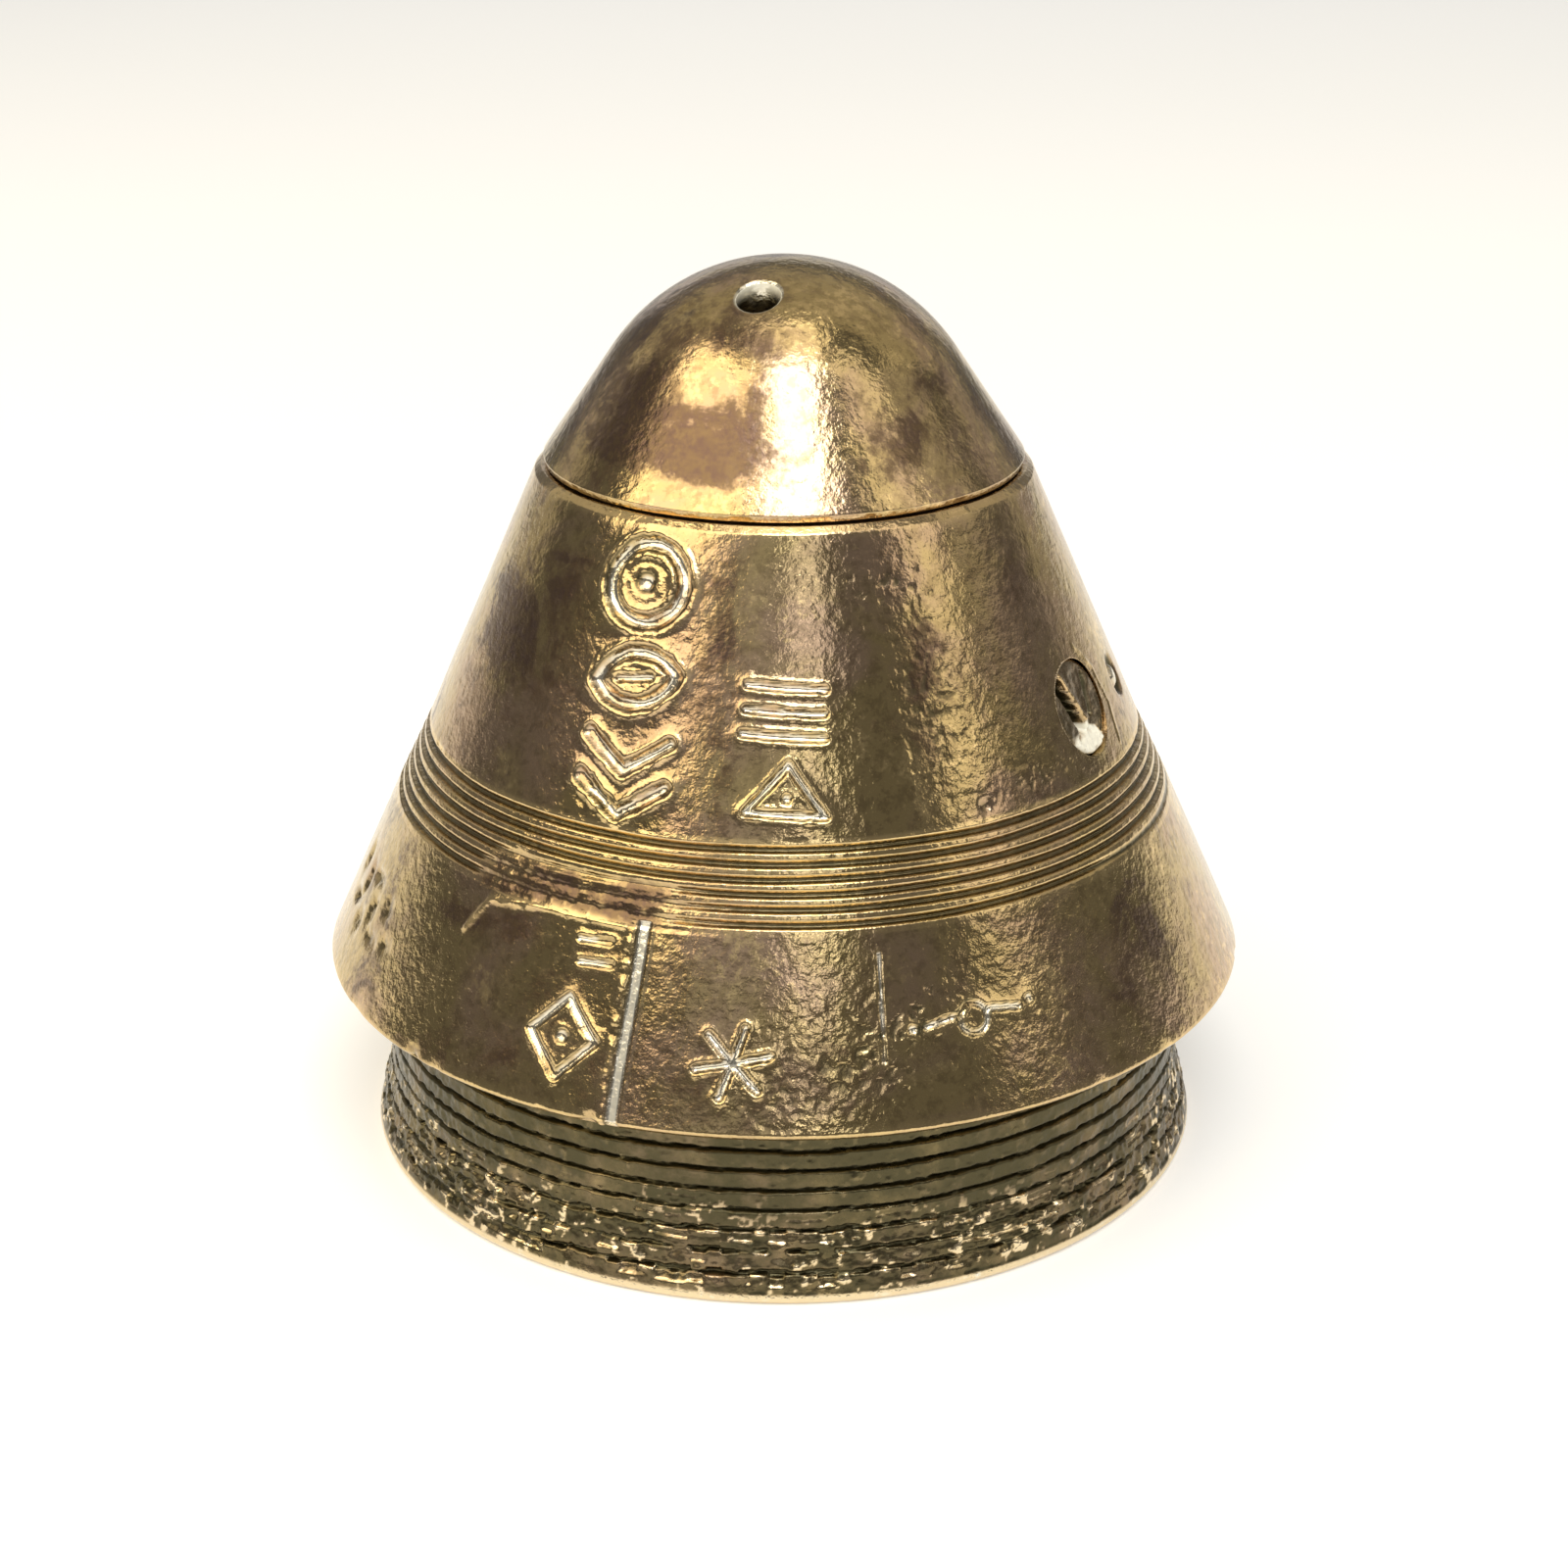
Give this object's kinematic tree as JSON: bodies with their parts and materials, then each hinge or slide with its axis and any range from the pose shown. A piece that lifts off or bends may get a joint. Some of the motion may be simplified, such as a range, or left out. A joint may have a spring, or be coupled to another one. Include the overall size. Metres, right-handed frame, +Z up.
{
  "type": "plumb bob",
  "caption": "Cone-shaped hollow brass plumb bob with a domed screw cap bored for the line, a grooved band, a skirt and a screw-threaded foot, loaded with a lead core.",
  "frame": {"origin": "centre of the flat base, on the bob's axis", "axes": "+Z up the bob's axis through the domed cap; the two line holes lie on the Y axis, the front one at -Y; the locking screw is on the +X side"},
  "size_m": [0.0552, 0.0552, 0.0527],
  "materials": {
    "body_brass": "turned, tarnished brown and olive, rubbed bright on the edges",
    "cap_brass": "turned, blotched with dark tarnish, golden where rubbed",
    "plug_brass": "turned, tarnished",
    "screw_brass": "dark, scarred bright by staking",
    "lead": "dull cast lead",
    "fibre": "dark oiled fibre",
    "felt": "pressed wool felt"
  },
  "bodies": {
    "bob": {"body": "body_brass", "ballast_core": "lead", "locking_screw": "screw_brass", "ballast_pad": "felt"},
    "cap_ring": {"cap_washer": "fibre"},
    "cap": {"nose_cap": "cap_brass"},
    "plug_ring": {"plug_washer": "fibre"},
    "plug": {"base_plug": "plug_brass"}
  },
  "joints": [
    {"name": "cap_lift", "type": "slide", "parent": "bob", "child": "cap_ring", "axis": [0, 0, 1], "range_m": [0, 0.0051]},
    {"name": "cap_turn", "type": "hinge", "parent": "cap_ring", "child": "cap", "pos_m": [0, 0, 0.0416], "axis": [0, 0, 1], "range_deg": [0, 1440]},
    {"name": "plug_drop", "type": "slide", "parent": "bob", "child": "plug_ring", "axis": [0, 0, -1], "range_m": [0, 0.0032]},
    {"name": "plug_turn", "type": "hinge", "parent": "plug_ring", "child": "plug", "pos_m": [0, 0, 0.0008], "axis": [0, 0, -1], "range_deg": [0, 900]}
  ],
  "couplings": [
    {"joint": "cap_lift", "follows": "cap_turn", "m_per_rad": 0.00020213},
    {"joint": "plug_drop", "follows": "plug_turn", "m_per_rad": 0.00020213}
  ]
}
